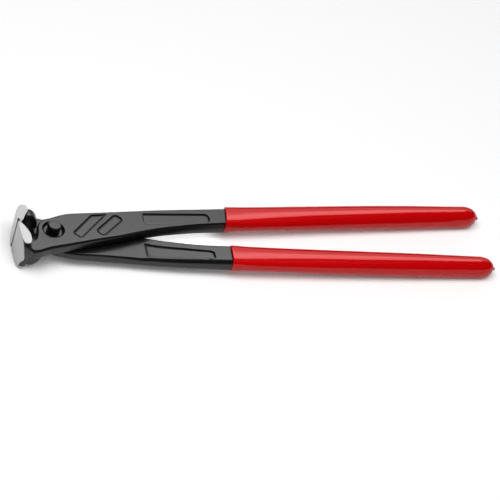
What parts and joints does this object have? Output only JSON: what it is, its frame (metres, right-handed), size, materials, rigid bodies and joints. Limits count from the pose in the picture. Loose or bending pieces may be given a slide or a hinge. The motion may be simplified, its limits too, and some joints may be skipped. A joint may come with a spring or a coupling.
{
  "type": "rebar tying pliers",
  "caption": "Long-handled end-cutting nippers for twisting and cutting tying wire: dark forged levers lapped on a rivet, ground cutting edges across the nose, red dipped grips.",
  "frame": {"origin": "centre of the closed tool's bounding box, in the plane where the two levers lap", "axes": "+X along the tool from the cutting edges to the grip ends, +Y across the tool towards the upper lever's grip, +Z along the joint's axis, out of the face with the rivet's standing head"},
  "size_m": [0.3, 0.0568, 0.0248],
  "materials": {
    "black_steel": "black oxide over a forged skin, satin, with the fronts and ends of the jaws ground bright",
    "rivet_steel": "black oxide over a turned face, satin",
    "red_vinyl": "glossy dipped vinyl"
  },
  "bodies": {
    "upper_half": {"upper_lever": "black_steel", "upper_grip": "red_vinyl", "joint_rivet": "rivet_steel"},
    "lower_half": {"lower_lever": "black_steel", "lower_grip": "red_vinyl"}
  },
  "joints": [
    {"name": "jaw_hinge", "type": "hinge", "parent": "upper_half", "child": "lower_half", "pos_m": [-0.1276, 0, 0], "axis": [0, 0, -1], "range_deg": [0, 45]}
  ]
}
